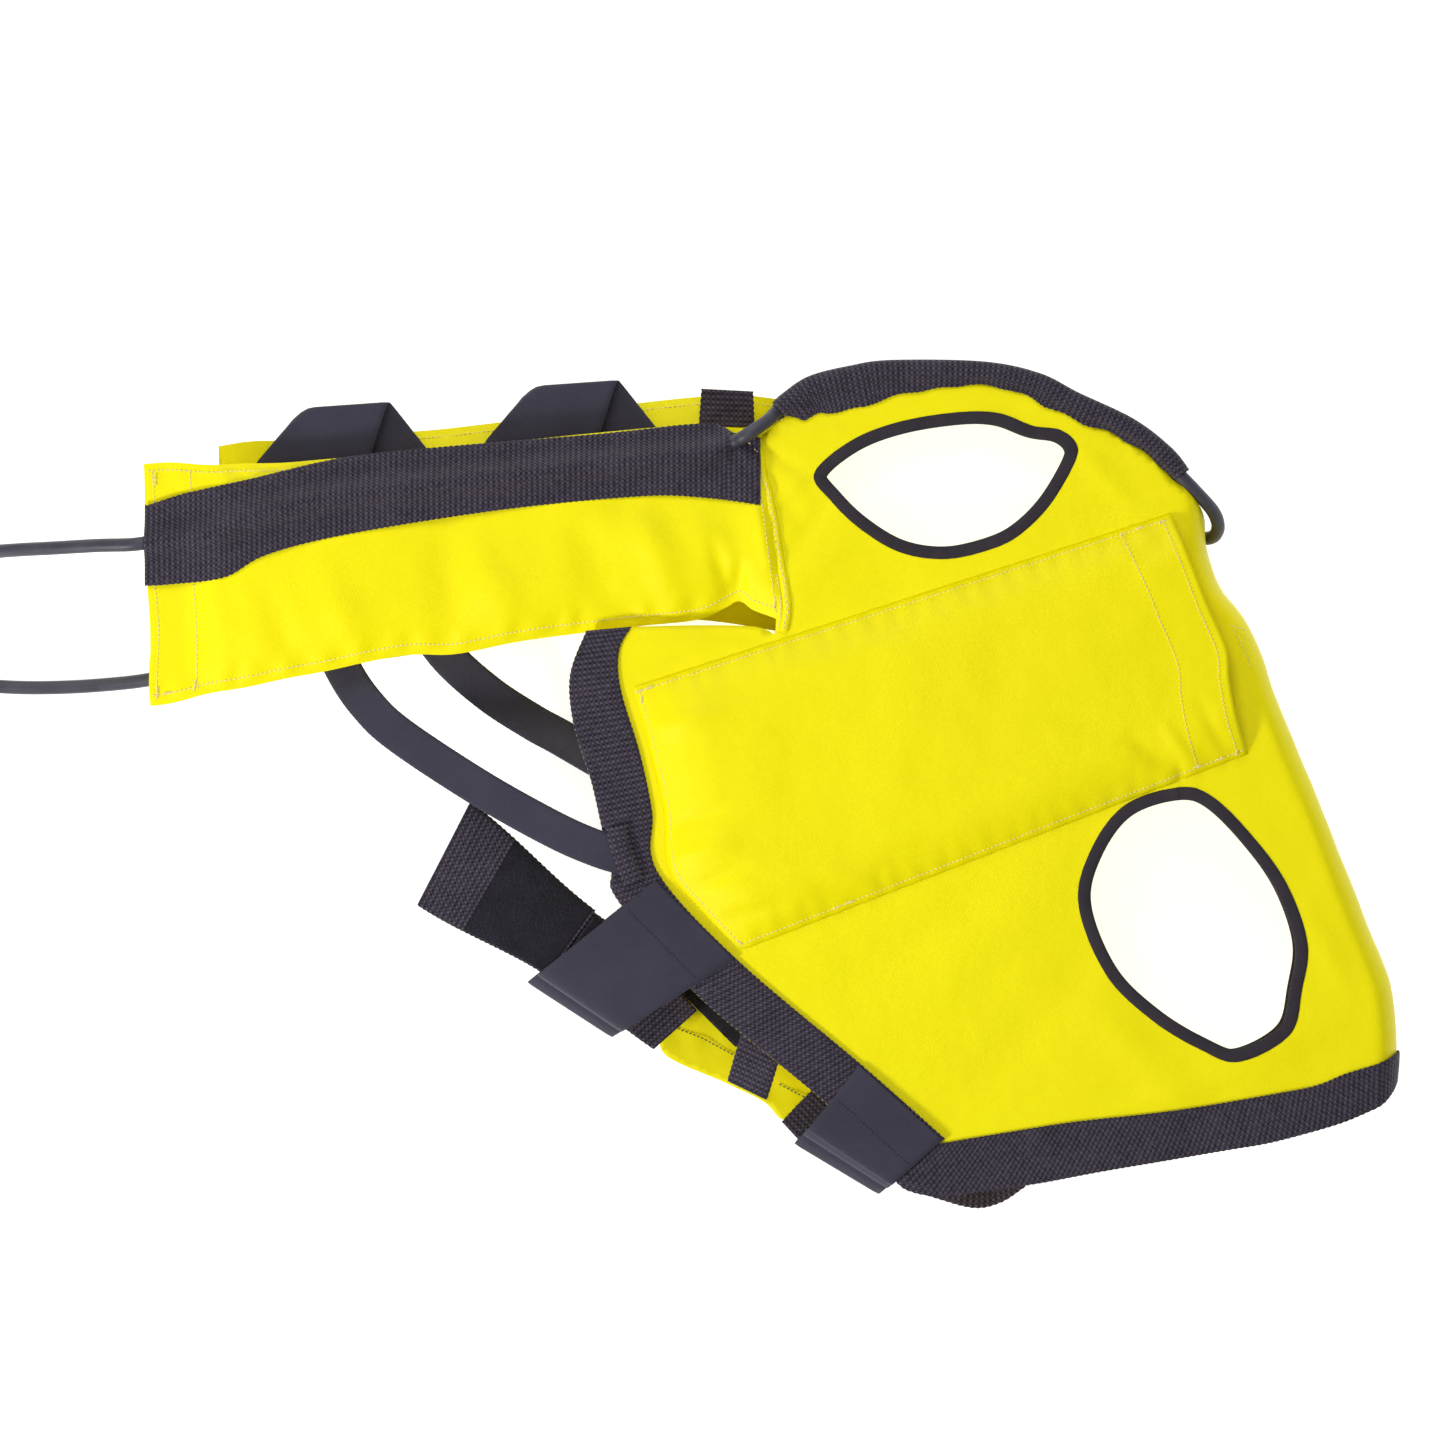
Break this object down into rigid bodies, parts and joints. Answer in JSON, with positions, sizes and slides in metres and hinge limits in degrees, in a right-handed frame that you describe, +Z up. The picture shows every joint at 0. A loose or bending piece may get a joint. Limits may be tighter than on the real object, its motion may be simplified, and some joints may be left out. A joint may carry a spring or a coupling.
{
  "type": "life jacket",
  "caption": "Two-sided high-visibility life jacket lying on its side, with bound openings, foam pockets, padded stems, webbing edges, elastic loops, a closure strap and a threaded cable.",
  "frame": {"origin": "on the floor under the middle of the jacket's box, free leads not counted", "axes": "+Z up from the floor the far side lies on, +X from the open stem ends towards the rounded fold, +Y from the hem towards the crown"},
  "size_m": [1.1792, 0.6248, 0.1003],
  "materials": {
    "yellow_fabric": "coated woven polyester, satin",
    "foam": "closed-cell foam, matt",
    "webbing": "woven polyester webbing",
    "binding_tape": "folded tape",
    "elastic": "woven elastic, fine rib",
    "hook_and_loop": "brushed pile",
    "cable_rubber": "satin rubber sheath",
    "plug_plastic": "moulded"
  },
  "bodies": {
    "jacket": {"closure_hook_strip": "hook_and_loop", "closure_strap_held_part": "webbing", "far_crown_webbing": "webbing", "far_hem_webbing": "webbing", "far_jaw_flap": "yellow_fabric", "far_jaw_webbing": "webbing", "far_lead": "cable_rubber", "far_lead_coil": "cable_rubber", "far_lead_plug": "plug_plastic", "far_lower_hole_binding": "binding_tape", "far_pocket_cover": "yellow_fabric", "far_side_panel": "yellow_fabric", "far_stem_channel_webbing": "webbing", "far_stem_cover": "yellow_fabric", "far_stem_end_tab": "webbing", "far_stem_foam": "foam", "far_throat_strap": "elastic", "far_upper_hole_binding": "binding_tape", "fold_hem_webbing": "webbing", "front_stem_elastic_loop": "elastic", "held_cable": "cable_rubber", "jaw_belt_tab": "webbing", "lower_jaw_elastic_loop": "elastic", "near_crown_webbing": "webbing", "near_hem_webbing": "webbing", "near_jaw_webbing": "webbing", "near_lead": "cable_rubber", "near_lead_coil": "cable_rubber", "near_lead_plug": "plug_plastic", "near_lower_hole_binding": "binding_tape", "near_pocket_cover": "yellow_fabric", "near_side_panel": "yellow_fabric", "near_stem_channel_webbing": "webbing", "near_stem_cover": "yellow_fabric", "near_stem_foam": "foam", "near_throat_strap": "elastic", "near_upper_hole_binding": "binding_tape", "rear_stem_elastic_loop": "elastic", "side_fold_panel": "yellow_fabric", "throat_strap_hook_tab": "hook_and_loop", "upper_jaw_elastic_loop": "elastic"},
    "closure_tail": {"closure_strap_tail": "webbing", "closure_strap_pile": "hook_and_loop", "closure_strap_end_fold": "webbing"},
    "near_foam": {"near_pocket_foam": "foam"},
    "far_foam": {"far_pocket_foam": "foam"}
  },
  "joints": [
    {"name": "closure_strap_lift", "type": "hinge", "parent": "jacket", "child": "closure_tail", "pos_m": [-0.146, -0.1165, 0.0529], "axis": [0.5888, 0.8083, 0], "range_deg": [-12, 60]},
    {"name": "near_foam_slide", "type": "slide", "parent": "jacket", "child": "near_foam", "axis": [0.9497, 0.3133, 0], "range_m": [0, 0.12]},
    {"name": "far_foam_slide", "type": "slide", "parent": "jacket", "child": "far_foam", "axis": [0.9497, 0.3133, 0], "range_m": [0, 0.12]}
  ]
}
